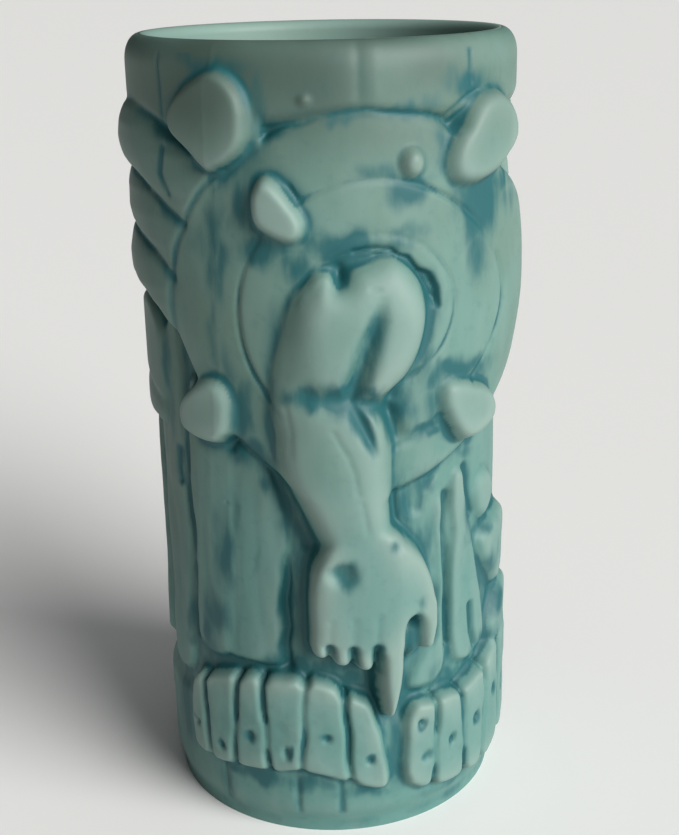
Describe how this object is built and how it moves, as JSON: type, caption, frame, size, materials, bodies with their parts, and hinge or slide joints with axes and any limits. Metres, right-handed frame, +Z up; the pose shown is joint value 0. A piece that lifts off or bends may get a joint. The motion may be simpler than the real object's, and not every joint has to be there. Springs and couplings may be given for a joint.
{
  "type": "tiki mug",
  "caption": "Tall ceramic mug with a plain bore, a rounded lip and applied clay carvings: a stepped disc, an arm with a pointing hand, studs, straps, bark and a row of teeth.",
  "frame": {"origin": "centre of the flat foot, on the surface the mug stands on", "axes": "+Z up along the bore, the arm and disc face -Y"},
  "size_m": [0.0846, 0.089, 0.17],
  "materials": {
    "glaze_body": "matt celadon glaze",
    "glaze_relief": "matt celadon glaze, wiped thin on the high places, blue wash in the recesses",
    "glaze_inside": "smooth glaze inside"
  },
  "bodies": {
    "root": {"vessel_wall": "glaze_inside", "vessel_floor": "glaze_inside", "rim_collar": "glaze_body", "foot_band": "glaze_body", "disc_outer_ring": "glaze_relief", "disc_middle_ring": "glaze_relief", "disc_hub": "glaze_relief", "disc_bead": "glaze_relief", "collar_bead": "glaze_relief", "arm_left_lobe": "glaze_relief", "arm_right_lobe": "glaze_relief", "forearm": "glaze_relief", "hand": "glaze_relief", "thumb": "glaze_relief", "index_finger": "glaze_relief", "middle_finger": "glaze_relief", "ring_finger": "glaze_relief", "little_finger": "glaze_relief", "stud_upper_left": "glaze_relief", "stud_upper_right": "glaze_relief", "stud_inner": "glaze_relief", "stud_lower_left": "glaze_relief", "stud_lower_right": "glaze_relief", "strap_upper": "glaze_relief", "strap_middle": "glaze_relief", "strap_lower": "glaze_relief", "side_drape": "glaze_relief", "bark_1": "glaze_relief", "bark_2": "glaze_relief", "bark_3": "glaze_relief", "bark_4": "glaze_relief", "bark_5": "glaze_relief", "bark_6": "glaze_relief", "bark_7": "glaze_relief", "bark_8": "glaze_relief", "bark_9": "glaze_relief", "bark_10": "glaze_relief", "bark_11": "glaze_relief", "bark_12": "glaze_relief", "bark_13": "glaze_relief", "leaf_1": "glaze_relief", "leaf_2": "glaze_relief", "leaf_3": "glaze_relief", "tooth_left_1": "glaze_relief", "tooth_left_2": "glaze_relief", "tooth_left_3": "glaze_relief", "tooth_left_4": "glaze_relief", "tooth_left_5": "glaze_relief", "tooth_left_6": "glaze_relief", "tooth_right_1": "glaze_relief", "tooth_right_2": "glaze_relief", "tooth_right_3": "glaze_relief", "tooth_right_4": "glaze_relief", "tooth_right_5": "glaze_relief"}
  },
  "joints": []
}
